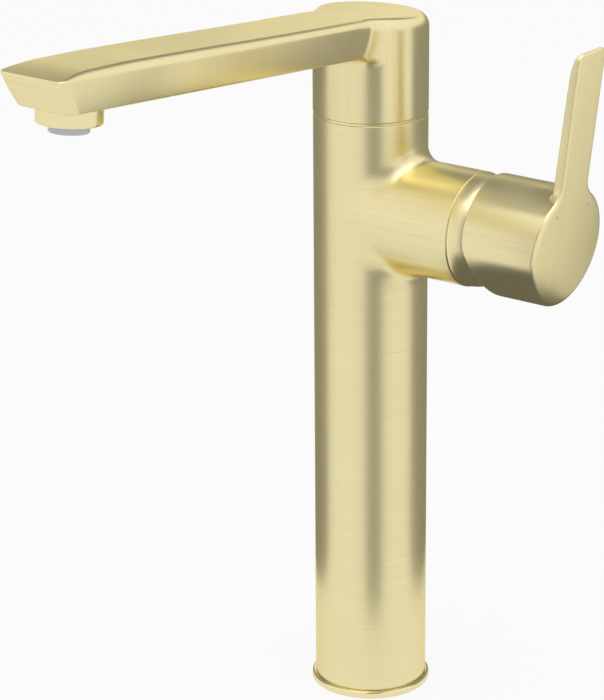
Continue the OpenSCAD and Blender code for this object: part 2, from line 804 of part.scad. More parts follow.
module nipple() {
    shank_z = branch_z + block_r + 2;
    color(brass) difference() {
        union() {
            translate([0, 0, nose_z]) cylinder(d = nose_d, h = tee_top_z - nose_z);
            translate([0, 0, shank_z]) cylinder(d = shank_d, h = tee_top_z - shank_z);
            translate([0, 0, tee_top_z]) cylinder(r = flange_r, h = flange_t);
            translate([0, 0, tee_top_z]) cylinder(r = spindle_r, h = spindle_top - tee_top_z);
        }
        translate([0, 0, nose_z - past]) cylinder(d = nipple_bore, h = spindle_top);
        translate([0, 0, lock_z - lock_groove_w / 2])
            ring(spindle_r + past, lock_groove_d / 2, lock_groove_w);
        for (z = [lower_seal_z, upper_seal_z])
            translate([0, 0, z - seal_groove_h / 2])
                ring(spindle_r + past, groove_r - seat_gap, seal_groove_h);
    }
}

module nipple_seal() {
    color(rubber) translate([0, 0, nose_z - nose_seal_t])
        ring(nose_d / 2, nipple_bore / 2 - 0.4, nose_seal_t);
}

module swivel_seal(z) {
    color(rubber) translate([0, 0, z]) torus(groove_r + oring_d / 2, oring_d / 2);
}

module lower_swivel_seal() {
    swivel_seal(lower_seal_z);
}

module upper_swivel_seal() {
    swivel_seal(upper_seal_z);
}

module slip_ring() {
    color(gold) translate([0, 0, tee_top_z])
        ring(slip_r, slip_r - slip_wall, slip_h - seat_gap);
}

module stop_pin() {
    color(steel) translate([0, stop_r, tee_top_z - stop_pin_depth])
        cylinder(d = stop_pin_d, h = stop_pin_depth + stop_pin_h);
}

// ---------- Spout ----------

// Cross-section of the spout: level top with rounded edges, sides drawn in towards the bottom.
module spout_section(drop = 0, narrow = 0) {
    half = spout_w / 2 - narrow;
    edge = spout_round;
    translate([-half + edge, -edge]) square([2 * (half - edge), edge - drop]);
    polygon([[-half, -edge], [half, -edge], [low_w / 2 - narrow, -spout_t], [-low_w / 2 + narrow, -spout_t]]);
    intersection() {
        for (side = [-1, 1]) translate([side * (half - edge), -edge]) circle(r = edge);
        translate([-half, -edge]) square([2 * half, edge - drop]);
    }
}

// Thin slice of the spout at a distance y from the axis.
module spout_slice(y, drop) {
    translate([0, -y, 0]) rotate([90, 0, 0]) linear_extrude(hair) spout_section(drop);
}

// The tip: top slopes down to a sharp front edge, and the front is cut back underneath.
module spout_tip() {
    start = spout_len - tip_ramp;
    edge_z = -spout_round;
    low_y = spout_len - tip_cut;
    hull() {
        for (k = [0, 0.35, 0.7])
            spout_slice(start + k * (tip_ramp - tip_top_round - 1), spout_round * k * k * 0.75, $fn = 32);
        for (side = [-1, 1]) {
            translate([side * (spout_w / 2 - tip_top_round), -spout_len + tip_top_round, edge_z - 0.2])
                cylinder(r = tip_top_round, h = 0.2, $fn = 32);
            translate([side * (low_w / 2 - tip_low_round), -low_y + tip_low_round, -spout_t])
                cylinder(r = tip_low_round, h = 0.2, $fn = 32);
        }
    }
}

// Fillet in plan between the spout's side and the round head.
module root_fillet() {
    half = spout_w / 2;
    r = root_round;
    cx = half + r;
    cy = -sqrt(pow(head_r + r, 2) - pow(cx, 2));
    k = head_r / (head_r + r);
    inset = 4;
    lean = atan(spout_draft / 2 / (spout_t - spout_round));
    translate([half, 0, -spout_round]) rotate([0, lean, 0]) translate([-half, 0, -spout_t + spout_round])
        linear_extrude(spout_t - spout_round) difference() {
            polygon([
                [half - inset, cy], [half, cy], [cx * k, cy * k],
                [cx * k - inset, cy * k + inset], [half - inset, cy * k]
            ]);
            translate([cx, cy]) circle(r = r);
        }
}

module spout() {
    start = spout_len - tip_ramp;
    floor_z = -(spout_t + channel_h) / 2;
    color(gold) difference() {
        union() {
            intersection() {
                translate([0, 0, head_z0]) cylinder(r = head_r, h = spout_t + 4 * head_r);
                spout_frame() rounded_slab(head_r + 0.1, head_round, 3 * head_r);
            }
            spout_frame() {
                rotate([90, 0, 0]) linear_extrude(start + hair) spout_section();
                spout_tip();
                root_fillet();
                mirror([1, 0, 0]) root_fillet();
            }
        }
        // clearance over the nipple's flange, sleeve seat and water chamber
        translate([0, 0, head_z0 - past]) cylinder(r = recess_r, h = recess_top - head_z0 + past);
        translate([0, 0, head_z0]) cylinder(r = sleeve_r + seat_gap, h = sleeve_z1 - head_z0);
        translate([0, 0, head_z0]) cylinder(r = seal_bore_r, h = chamber_top - head_z0);
        stop_pocket();
        spout_frame() translate([-channel_w / 2, -aerator_y - channel_w / 2, floor_z])
            cube([channel_w, aerator_y + channel_w / 2, channel_h]);
        aerator_frame() translate([0, 0, -past])
            cylinder(r = shank_r + seat_gap, h = washer_w + past);
        translate([0, head_r + past, lock_z]) rotate([90, 0, 0]) cylinder(d = lock_d, h = head_r);
    }
}

// Arc pocket round the back of the recess, in which the stop pin runs.
module stop_pocket() {
    far = 3 * body_r;
    translate([0, 0, head_z0 - past]) linear_extrude(recess_top - head_z0 + past) intersection() {
        circle(r = pocket_r);
        rotate(90) polygon([
            [0, 0], far * [cos(pocket_half), -sin(pocket_half)],
            [far, 0], far * [cos(pocket_half), sin(pocket_half)]
        ]);
    }
}

module glide_sleeve() {
    color(plastic) translate([0, 0, sleeve_z0])
        ring(sleeve_r, spindle_r + run_gap, sleeve_z1 - sleeve_z0);
}

module spout_screw() {
    tip_y = lock_groove_d / 2 + free_gap;
    head_y = head_r - 2;
    color(steel) difference() {
        translate([0, head_y, lock_z]) rotate([90, 0, 0])
            cylinder(d = lock_d - 2 * seat_gap, h = head_y - tip_y);
        translate([0, head_y + past, lock_z]) rotate([90, 0, 0])
            cylinder(d = lock_d / 2, h = lock_d / 2 + past, $fn = 6);
    }
}

// ---------- Aerator ----------

module aerator_housing() {
    low_r = aerator_d / 2;
    color(gold) aerator_frame() rotate_extrude() difference() {
        union() {
            polygon([
                [0, -aerator_h], [low_r - aerator_bevel, -aerator_h], [low_r, -aerator_h + aerator_bevel],
                [low_r, 0], [0, 0]
            ]);
            square([shank_r, aerator_shank]);
        }
        translate([-past, -aerator_h + nozzle_lip])
            square([aerator_bore / 2 + past, aerator_h + aerator_shank]);
        translate([-past, -aerator_h - past]) square([nozzle_d / 2 + seat_gap + past, aerator_h]);
    }
}

module aerator_insert() {
    body_z = -aerator_h + nozzle_lip;
    top_z = aerator_shank - screen_t;
    rim = 1.5;
    color(lilac) aerator_frame() difference() {
        union() {
            translate([0, 0, body_z]) cylinder(r = aerator_bore / 2 - seat_gap, h = top_z - body_z);
            translate([0, 0, -aerator_h - nozzle_out]) cylinder(d = nozzle_d, h = nozzle_out + nozzle_lip);
        }
        translate([0, 0, -aerator_h - nozzle_out - past])
            cylinder(r = nozzle_d / 2 - rim, h = nozzle_out + past);
        translate([0, 0, top_z - rim / 2]) cylinder(r = aerator_bore / 2 - rim, h = rim / 2 + past);
        for (a = [0:60:300]) rotate(a) translate([nozzle_d / 4, 0, -aerator_h - past])
            cylinder(d = 2, h = aerator_h + aerator_shank + past);
    }
}

module aerator_screen() {
    color(steel) aerator_frame() translate([0, 0, aerator_shank - screen_t]) difference() {
        cylinder(r = aerator_bore / 2 - seat_gap, h = screen_t);
        for (a = [0:45:315]) rotate(a) translate([aerator_bore / 4, 0, -past])
            cylinder(d = 2, h = screen_t + 2 * past);
    }
}

module aerator_washer() {
    color(rubber) aerator_frame() translate([0, 0, aerator_shank])
        ring(shank_r, aerator_bore / 2 - 1.5, washer_t - seat_gap);
}

base_ring();
base_gasket();
inlet_foot();
riser();
tee_body();
hot_tube();
cold_tube();
valve_block();
nipple();
nipple_seal();
lower_swivel_seal();
upper_swivel_seal();
slip_ring();
stop_pin();
spout();
glide_sleeve();
spout_screw();
aerator_housing();
aerator_insert();
aerator_screen();
aerator_washer();
port_seal();
cartridge_base();
cartridge_housing();
fixed_disc();
moving_disc();
disc_carrier();
rotor();
pivot_pin();
stem();
retaining_nut();
collar();
handle();
stem_bushing();
handle_screw();
handle_plug();
hot_mark();
cold_mark();
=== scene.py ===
import math

import bmesh
import bpy
import numpy as np
from mathutils import Matrix, Vector


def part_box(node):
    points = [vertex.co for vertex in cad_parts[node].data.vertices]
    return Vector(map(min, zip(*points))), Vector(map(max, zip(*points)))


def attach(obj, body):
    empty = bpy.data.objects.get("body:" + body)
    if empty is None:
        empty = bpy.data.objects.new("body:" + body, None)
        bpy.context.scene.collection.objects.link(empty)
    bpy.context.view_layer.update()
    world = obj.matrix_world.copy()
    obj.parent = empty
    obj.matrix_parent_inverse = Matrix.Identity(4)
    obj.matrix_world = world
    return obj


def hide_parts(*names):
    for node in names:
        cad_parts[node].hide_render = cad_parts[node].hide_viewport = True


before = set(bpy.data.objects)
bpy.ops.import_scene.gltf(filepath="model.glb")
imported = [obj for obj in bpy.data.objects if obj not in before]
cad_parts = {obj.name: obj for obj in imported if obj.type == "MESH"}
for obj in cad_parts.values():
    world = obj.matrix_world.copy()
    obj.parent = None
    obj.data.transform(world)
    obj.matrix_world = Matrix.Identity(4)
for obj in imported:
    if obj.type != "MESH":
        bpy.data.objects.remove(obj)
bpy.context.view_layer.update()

MM = 0.001
SEGMENTS = 192
FIELD_STEP = 0.5
SMOOTH_DEGREES = 40
TEE_SMOOTH_DEGREES = 60
WELD_DISTANCE = 2e-6

# Sizes in millimetres. Most are those of the solids; fine edges, crowns and creases are the scene's own.
BODY_R = 23.0
RING_R = 24.5
RING_H = 3.4
RING_ROUND = 1.1
RING_BORE_R = 20.0
SEAM_Z = 152.0
RISER_END_BORE_R = 20.0
RISER_BORE_R = 19.0
RISER_BORE_LOW_Z = 26.0
RISER_BORE_TOP_Z = 138.0
SLIP_RING_BORE_R = 19.5
SLIP_RING_BEVEL = 0.15
TEE_TOP_Z = 246.3
HEAD_Z = 247.4
HEAD_R = 23.1
HEAD_TOP_Z = 287.9
HEAD_ROUND = 5.2
HEAD_CROWN = 0.6
BRANCH_Z = 206.9
BRANCH_END_X = 52.2
TEE_RIM_R = 17.0
CROTCH_ROUND = 6.4
CROTCH_SPREAD = 7.0
PIVOT_X = 55.0
DOME_R = 22.6
DOME_LEN = 17.3
DOME_WALL = 2.0
DOME_THREAD_R = 19.45
DOME_THREAD_LEN = 4.3
SEAM_BEVEL = 0.3
FINE_BEVEL = 0.06
EDGE_HOLD = 0.06

SPOUT_SLOPE = math.radians(5.4)
SPOUT_LEN = 202.9
SPOUT_HALF = 15.1
SPOUT_LOW_HALF = 13.4
SPOUT_T = 15.4
CREASE_DEPTH = 2.6
STRIP_LEAN = 0.5
TIP_RAMP = 20.0
TIP_CUT = 7.5
TIP_TOP_ROUND = 3.0
TIP_LOW_ROUND = 4.4
SPOUT_CROWN = 0.5
ROOT_TOP_ROUND = 3.0
ROOT_LOW_ROUND = 5.5
UNDER_ROUND = 0.8
CREASE_SOFTNESS = 0.25
TOP_EDGE = 0.7
TOP_EDGE_GROWTH = 0.9
HEAD_BLEND = (14, 34)
CROWN_STARTS = (60, 150)
CROWN_ENDS = (160, 190)

# The spout's bores: nipple and sleeve as (radius, top), stop pocket, water channel, aerator seat and screw.
NIPPLE_BORES = [(15.35, 250.3), (13.1, 264.2), (12.0, 282.0)]
POCKET_R = 19.05
POCKET_TOP_Z = 250.3
POCKET_SWING = math.radians(66)
CHANNEL_HALF = 7.0
CHANNEL_HALF_H = 3.5
CHANNEL_DEPTH = 7.7
SEAT_R = 10.35
SEAT_DEPTH = 9.0
SCREW_Z = 254.3
SCREW_START_Y = 1.0
SCREW_BORE_R = 2.5

AERATOR_AT = 180.5
AERATOR_R = 12.2
AERATOR_H = 6.2
AERATOR_BEVEL = 0.9
AERATOR_BACK_BEVEL = 0.25
AERATOR_THREAD_R = 10.3
AERATOR_BORE_R = 8.5
AERATOR_MOUTH_R = 7.55
AERATOR_LEDGE = 3.2
AERATOR_THREAD_H = 5.0
NOZZLE_R = 7.5
NOZZLE_OUT = 3.2
NOZZLE_FLANGE_R = 8.45
NOZZLE_FLANGE_TOP = 4.4
NOZZLE_ROUND = 0.5
AXIS_R = 0.001

HUB_R = 23.75
HUB_BACK_X = 60.0
HUB_ROUND = 1.6
HUB_SLANT = math.radians(21)
CAVITY_R = 22.37
FACE_X = 93.4
FACE_LEAN = math.radians(7.2)
STEM_RISE = math.radians(12)
LEVER_HALF = 9.05
LEVER_LEN = 80.2
LEVER_ROOT_T = 4.9
LEVER_TIP_T = 4.1
LEVER_CORNER = 3.0
LEVER_SWEEP = 13.0
LEVER_EDGE_T = 1.0
LEVER_NECK_ROUND = 4.5
LEVER_NECK_BACK = 1.4
LEVER_EDGE = 0.9
MARK_SIDE = 11.0
MARK_UP = 15.4
LEVER_SIDE_ROUND = 0.9
LEVER_FOOT = 4.0
EDGE_BLEND = 2.5
HUB_BACK_ROUND = 0.3
SOCKET_HALF = 5.05
SOCKET_END = 34.05
GRUB_X = 83.5
GRUB_BORE_R = 2.5
MARK_R = 1.0
MARK_RISE = 0.1
MARK_SUNK = 0.3


# ---------- Shapes from distance fields ----------

def round_join(a, b, r):
    """Union of two fields with a concave fillet of radius r."""
    return np.maximum(r, np.minimum(a, b)) - np.hypot(np.maximum(r - a, 0), np.maximum(r - b, 0))


def round_cut(a, b, r):
    """Intersection of two fields with an edge rounded to radius r."""
    return np.minimum(-r, np.maximum(a, b)) + np.hypot(np.maximum(r + a, 0), np.maximum(r + b, 0))


def soft_cut(a, b, width):
    """Intersection of two fields that meet at a shallow crease."""
    h = np.maximum(width - np.abs(a - b), 0) / width
    return np.maximum(a, b) + h * h * width / 4


def ramp(value, start, end):
    """0 before start, 1 after end, and smooth between them."""
    t = np.clip((value - start) / (end - start), 0, 1)
    return t * t * (3 - 2 * t)


def gradient(field, points, h=0.02):
    """Slope of the field at each point."""
    steps = np.eye(3) * h
    return np.stack([field(points + s) - field(points - s) for s in steps], 1) / (2 * h)


def link(name, mesh):
    piece = bpy.data.objects.new(name, mesh)
    bpy.context.scene.collection.objects.link(piece)
    return piece


def field_mesh(name, field, low, high, step):
    """Closed surface where field is zero, with a vertex in each cell that the surface crosses."""
    counts = [int(math.ceil((b - a) / step)) + 1 for a, b in zip(low, high)]
    axes = [a + step * np.arange(n) for a, n in zip(low, counts)]
    values = np.empty(counts, np.float32)
    for i, x in enumerate(axes[0]):
        y, z = np.meshgrid(axes[1], axes[2], indexing="ij")
        slab = np.stack([np.full(y.size, x), y.ravel(), z.ravel()], 1)
        values[i] = field(slab).reshape(counts[1:])
    inside = values < 0
    cells = [n - 1 for n in counts]
    corners = [(i, j, k) for i in (0, 1) for j in (0, 1) for k in (0, 1)]
    filled = sum(
        inside[i:i + cells[0], j:j + cells[1], k:k + cells[2]].astype(np.int8) for i, j, k in corners
    )
    crossed = np.argwhere((filled > 0) & (filled < 8))
    number = np.full(cells, -1, np.int64)
    number[tuple(crossed.T)] = np.arange(len(crossed))
    points = np.array(low) + step * (crossed + 0.5)
    for _ in range(6):
        slope = gradient(field, points)
        size = np.maximum((slope ** 2).sum(1), 0.05)
        move = -slope * (field(points) / size)[:, None]
        length = np.linalg.norm(move, axis=1, keepdims=True)
        points += move * np.minimum(1, 0.5 * step / np.maximum(length, 1e-9))
    faces = []
    for axis in range(3):
        u, v = (axis + 1) % 3, (axis + 2) % 3
        lower = np.take(inside, range(counts[axis] - 1), axis)
        upper = np.take(inside, range(1, counts[axis]), axis)
        edges = np.argwhere(lower != upper)
        keep = (edges[:, u] > 0) & (edges[:, v] > 0) & (edges[:, u] < cells[u]) & (edges[:, v] < cells[v])
        edges = edges[keep]
        du, dv = np.eye(3, dtype=int)[u], np.eye(3, dtype=int)[v]
        ring = [edges - du - dv, edges - dv, edges, edges - du]
        quads = np.stack([number[tuple(c.T)] for c in ring], 1)
        turned = ~lower[tuple(edges.T)]
        quads[turned] = quads[turned][:, ::-1]
        faces.append(quads)
    mesh = bpy.data.meshes.new(name)
    mesh.from_pydata((points * MM).tolist(), [], np.concatenate(faces).tolist())
    mesh.shade_smooth()
    slope = gradient(field, points)
    slope /= np.maximum(np.linalg.norm(slope, axis=1, keepdims=True), 1e-9)
    mesh.normals_split_custom_set_from_vertices(slope.tolist())
    return link(name, mesh)


def hold_ends(profile, shortest=0.9):
    """Adds a point close to each end of every long side, so that rounded edges don't shade the sides."""
    held = []
    for (r0, h0), (r1, h1) in zip(profile, profile[1:] + profile[:1]):
        held.append((r0, h0))
        length = math.hypot(r1 - r0, h1 - h0)
        if length > shortest:
            for t in (EDGE_HOLD / length, 1 - EDGE_HOLD / length):
                held.append((r0 + (r1 - r0) * t, h0 + (h1 - h0) * t))
    return held


def lathe(name, profile, axis="z", centre=(0, 0, 0), tilt=0.0):
    """Closed profile of (radius, height) points turned round an axis through centre."""
    profile = hold_ends(profile)
    turn = {"z": Matrix.Identity(4), "x": Matrix.Rotation(math.pi / 2, 4, "Y")}[axis]
    place = Matrix.Translation(Vector(centre) * MM) @ Matrix.Rotation(tilt, 4, "X") @ turn
    count = len(profile)
    verts = []
    for i in range(SEGMENTS):
        a = 2 * math.pi * i / SEGMENTS
        verts += [(r * MM * math.cos(a), r * MM * math.sin(a), h * MM) for r, h in profile]
    faces = []
    for i in range(SEGMENTS):
        here, there = i * count, (i + 1) % SEGMENTS * count
        for j in range(count):
            k = (j + 1) % count
            faces.append((here + j, there + j, there + k, here + k))
    mesh = bpy.data.meshes.new(name)
    mesh.from_pydata(verts, [], faces)
    mesh.transform(place)
    mesh.validate()
    mesh.shade_smooth()
    mesh.set_sharp_from_angle(angle=math.radians(SMOOTH_DEGREES))
    return link(name, mesh)


def arc(cx, cy, r, start, end, count=6):
    """Points of an arc, in degrees, both ends included."""
    angles = [math.radians(start + (end - start) * i / count) for i in range(count + 1)]
    return [(cx + r * math.cos(a), cy + r * math.sin(a)) for a in angles]


# ---------- Column ----------

def make_base_ring():
    r = RING_ROUND
    low = arc(RING_R - r, r, r, -90, 0, 8)
    high = arc(RING_R - r, RING_H - r, r, 0, 90, 8)
    return lathe("base_ring_turned", [(RING_BORE_R, 0)] + low + high + [(RING_BORE_R, RING_H)])


def make_riser():
    b = SEAM_BEVEL
    low = arc(BODY_R - b, RING_H + b, b, -90, 0, 3)
    fine = FINE_BEVEL
    high = arc(BODY_R - fine, SEAM_Z - fine, fine, 0, 90, 3)
    top, bottom = RISER_BORE_TOP_Z, RISER_BORE_LOW_Z
    bore = [(RISER_END_BORE_R, SEAM_Z), (RISER_END_BORE_R, top), (RISER_BORE_R, top)]
    bore += [(RISER_BORE_R, bottom), (RISER_END_BORE_R, bottom), (RISER_END_BORE_R, RING_H)]
    return lathe("riser_tube", low + high + bore)


def make_slip_ring():
    low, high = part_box("slip_ring")
    outer = high.x / MM
    z0, z1 = low.z / MM, high.z / MM
    b = SLIP_RING_BEVEL
    rim = arc(outer - b, z0 + b, b, -90, 0, 3) + arc(outer - b, z1 - b, b, 0, 90, 3)
    return lathe("slip_ring_turned", rim + [(SLIP_RING_BORE_R, z1), (SLIP_RING_BORE_R, z0)])


def crotch_radius(c):
    """Fillet radius where the branch has turned to cosine c: widest at its two sides."""
    return CROTCH_ROUND + CROTCH_SPREAD * (1 - abs(c)) ** 2


def crotch_point(across, t, up):
    """Point on the fillet between column (t 0) and branch (t 1), in a plane along both axes."""
    c, s = math.cos(across), math.sin(across)
    r = crotch_radius(c)
    middle = BODY_R * c + r
    bend = t * math.pi / 2
    rise = middle - r * math.sin(bend)
    return Vector((middle - r * math.cos(bend), BODY_R * s, BRANCH_Z + (rise if up else -rise)))


def make_tee():
    """Column and branch as turned walls that end at the fillet between them."""
    verts, faces = [], []

    def grid(rows):
        start, width = len(verts), len(rows[0])
        verts.extend(tuple(p * MM) for row in rows for p in row)
        for i in range(len(rows) - 1):
            for j in range(width - 1):
                a, b = start + i * width + j, start + (i + 1) * width + j
                faces.append([a, a + 1, b + 1, b])

    def edge(r, end, sign, bevel, place):
        """Wall's last stretch, its bevelled rim and a short return, placed by radius and distance."""
        last = end - sign * bevel
        points = [place(r, last - sign * EDGE_HOLD), place(r, last)]
        for k in range(1, 4):
            bend = math.pi / 2 * k / 3
            points.append(place(r - bevel + bevel * math.cos(bend), last + sign * bevel * math.sin(bend)))
        return points + [place(TEE_RIM_R, end)]

    front = [math.pi * (i / SEGMENTS - 0.5) for i in range(SEGMENTS + 1)]
    steps = 10
    for sign, end, bevel in ((1, TEE_TOP_Z, SEAM_BEVEL), (-1, SEAM_Z, FINE_BEVEL)):
        def column_line(a, start_low):
            def place(r, z):
                return Vector((r * math.cos(a), r * math.sin(a), z))
            c = max(0.0, math.cos(a))
            z0 = BRANCH_Z + sign * (BODY_R * c + crotch_radius(c))
            wall = [place(BODY_R, z0 + (end - z0) * k / 8) for k in range(8)]
            foot = [place(BODY_R, BRANCH_Z)] if start_low else []
            return foot + wall + edge(BODY_R, end, sign, bevel, place)

        grid([column_line(a, False) for a in front])
        grid([column_line(a + math.pi, True) for a in front])
        web = [[crotch_point(a, t / steps, sign > 0) for t in range(steps + 1)] for a in front]
        grid(web)
        for row in (web[0], web[-1]):
            start = len(verts)
            corner = Vector((0, row[0].y, BRANCH_Z))
            verts.extend(tuple(p * MM) for p in [corner] + row)
            faces.extend([start, start + k, start + k + 1] for k in range(1, steps + 1))

    def branch_line(a):
        def place(r, x):
            return Vector((x, r * math.sin(a), BRANCH_Z + r * math.cos(a)))
        c = abs(math.cos(a))
        x0 = BODY_R * c + crotch_radius(c)
        wall = [place(BODY_R, x0 + (BRANCH_END_X - x0) * k / 8) for k in range(8)]
        return wall + edge(BODY_R, BRANCH_END_X, 1, SEAM_BEVEL, place)

    grid([branch_line(a) for a in front + [b + math.pi for b in front]])
    mesh = bpy.data.meshes.new("tee_casting")
    mesh.from_pydata(verts, [], faces)
    piece = link("tee_casting", mesh)
    weld(piece)
    mesh.shade_smooth()
    mesh.set_sharp_from_angle(angle=math.radians(TEE_SMOOTH_DEGREES))
    return piece


def weld(piece):
    """Joins points that lie on each other and turns the faces outwards."""
    bm = bmesh.new()
    bm.from_mesh(piece.data)
    bmesh.ops.remove_doubles(bm, verts=bm.verts, dist=WELD_DISTANCE)
    bmesh.ops.recalc_face_normals(bm, faces=bm.faces)
    bm.to_mesh(piece.data)
    bm.free()


def make_collar():
    """Threaded ring that runs on into a dome."""
    stop = math.degrees(math.acos(DOME_LEN / DOME_R))
    inner_r = DOME_R - DOME_WALL
    inner_stop = math.degrees(math.acos(DOME_LEN / inner_r))
    inner_start = math.degrees(math.acos(DOME_THREAD_LEN / inner_r))
    profile = arc(DOME_R - FINE_BEVEL, FINE_BEVEL, FINE_BEVEL, -90, 0, 3)
    profile += arc(0, 0, DOME_R, 1, 90 - stop, 24)
    profile += arc(0, 0, inner_r, 90 - inner_stop, 90 - inner_start, 20)
    profile += [(DOME_THREAD_R, DOME_THREAD_LEN), (DOME_THREAD_R, 0)]
    return lathe("collar_dome", profile, "x", (BRANCH_END_X, 0, BRANCH_Z))


# ---------- Spout ----------

def spout_frame(points):
    """Distance along the spout and height over its top plane."""
    x, y, z = points.T
    rise = z - HEAD_TOP_Z
    along = -(y * math.cos(SPOUT_SLOPE) - rise * math.sin(SPOUT_SLOPE))
    up = y * math.sin(SPOUT_SLOPE) + rise * math.cos(SPOUT_SLOPE)
    return x, along, up


def spout_hollows(points):
    """Space for the nipple, its sleeve and the water, and the bores of the screw and the aerator."""
    x, y, z = points.T
    _, along, up = spout_frame(points)
    radius = np.hypot(x, y)
    hollow = np.full(len(points), 1e3)
    for r, top in NIPPLE_BORES:
        hollow = np.minimum(hollow, np.maximum(radius - r, z - top))
    sector = np.abs(x) * math.cos(POCKET_SWING) - y * math.sin(POCKET_SWING)
    pocket = np.maximum(np.maximum(radius - POCKET_R, z - POCKET_TOP_Z), sector)
    channel = np.maximum(np.abs(x) - CHANNEL_HALF, np.abs(up + CHANNEL_DEPTH) - CHANNEL_HALF_H)
    channel = np.maximum(channel, np.maximum(along - AERATOR_AT - CHANNEL_HALF, -along))
    seat = np.maximum(np.hypot(x, along - AERATOR_AT) - SEAT_R, up + SEAT_DEPTH)
    screw = np.maximum(np.hypot(x, z - SCREW_Z) - SCREW_BORE_R, SCREW_START_Y - y)
    for space in (pocket, channel, seat, screw):
        hollow = np.minimum(hollow, space)
    return hollow


def spout_field(points):
    """Head and arm in one: a bar with a leaning strip on its top edges and a tip cut back underneath."""
    x, along, up = spout_frame(points)
    y, z = points[:, 1], points[:, 2]
    depth = np.clip((-CREASE_DEPTH - up) / (SPOUT_T - CREASE_DEPTH), 0, 1.2)
    low = np.minimum(depth, 1)
    under = -SPOUT_T - up
    root = ROOT_TOP_ROUND + (ROOT_LOW_ROUND - ROOT_TOP_ROUND) * low
    head = np.hypot(x, y) - HEAD_R
    side = np.abs(x) - SPOUT_HALF + (SPOUT_HALF - SPOUT_LOW_HALF) * depth ** 2
    lean = math.hypot(TIP_CUT, SPOUT_T - CREASE_DEPTH)
    tip = ((along - SPOUT_LEN) * (SPOUT_T - CREASE_DEPTH) - (up + CREASE_DEPTH) * TIP_CUT) / lean
    corner = TIP_TOP_ROUND + (TIP_LOW_ROUND - TIP_TOP_ROUND) * low
    outline = np.where(along > SPOUT_LEN / 2, round_cut(side, tip, corner), side)
    bar = np.maximum(round_cut(outline, under, UNDER_ROUND), -along)
    strip = (outline + STRIP_LEAN * (up + CREASE_DEPTH)) / math.hypot(1, STRIP_LEAN)
    crowned = round_cut(round_join(head, bar, root), up - HEAD_CROWN, HEAD_ROUND + HEAD_CROWN)
    creased = round_join(head, soft_cut(bar, strip, CREASE_SOFTNESS), root)
    share = ramp(along, *HEAD_BLEND)
    body = crowned * (1 - share) + creased * share
    fall = CREASE_DEPTH * np.clip((along - SPOUT_LEN + TIP_RAMP) / TIP_RAMP, 0, 2) ** 2
    top = up - SPOUT_CROWN * ramp(along, *CROWN_STARTS) * (1 - ramp(along, *CROWN_ENDS)) + fall
    edge = TOP_EDGE + TOP_EDGE_GROWTH * share
    tip_edge = np.minimum(edge, 0.4 + 0.5 * (CREASE_DEPTH - fall))
    body = round_cut(body, top, np.where(fall > 0, tip_edge, edge))
    body = round_cut(body, HEAD_Z - z, SEAM_BEVEL)
    return np.maximum(body, -spout_hollows(points))


def make_spout():
    tip_rise = SPOUT_LEN * math.sin(SPOUT_SLOPE)
    low = (-HEAD_R - 1, -SPOUT_LEN - 1, HEAD_Z - 1)
    high = (HEAD_R + 1, HEAD_R + 1, HEAD_TOP_Z + tip_rise + 1)
    return field_mesh("spout_casting", spout_field, low, high, FIELD_STEP)


def aerator_place():
    """Centre of the aerator on the spout's underside."""
    c, s = math.cos(SPOUT_SLOPE), math.sin(SPOUT_SLOPE)
    y = -AERATOR_AT * c - SPOUT_T * s
    z = HEAD_TOP_Z + AERATOR_AT * s - SPOUT_T * c
    return (0, y, z)


def make_aerator_housing():
    r, b, back = AERATOR_R, AERATOR_BEVEL, AERATOR_BACK_BEVEL
    rim = arc(r - b, -AERATOR_H + b, b, -90, 0, 5) + arc(r - back, -back, back, 0, 90, 3)
    bore = [(AERATOR_THREAD_R, 0), (AERATOR_THREAD_R, AERATOR_THREAD_H), (AERATOR_BORE_R, AERATOR_THREAD_H)]
    mouth = [(AERATOR_BORE_R, -AERATOR_LEDGE), (AERATOR_MOUTH_R, -AERATOR_LEDGE), (AERATOR_MOUTH_R, -4.5)]
    profile = rim + bore + mouth + [(7.8, -AERATOR_H)]
    return lathe("aerator_shell", profile, "z", aerator_place(), -SPOUT_SLOPE)


def make_aerator_insert():
    """Nozzle with a soft rim and a face set back in it, as one turned body."""
    end = -AERATOR_H - NOZZLE_OUT
    r = NOZZLE_R
    rim = arc(r - NOZZLE_ROUND, end + NOZZLE_ROUND, NOZZLE_ROUND, -90, 0, 4)
    top = [(r, -AERATOR_LEDGE), (NOZZLE_FLANGE_R, -AERATOR_LEDGE)]
    top += [(NOZZLE_FLANGE_R, NOZZLE_FLANGE_TOP), (AXIS_R, NOZZLE_FLANGE_TOP)]
    face = [(AXIS_R, end + 1.6), (r - 1.9, end + 1.6), (r - 1.5, end + 1.2)]
    face += [(r - 1.3, end + 0.3), (r - 1.0, end)]
    return lathe("aerator_nozzle", rim + top + face, "z", aerator_place(), -SPOUT_SLOPE)


# ---------- Handle ----------

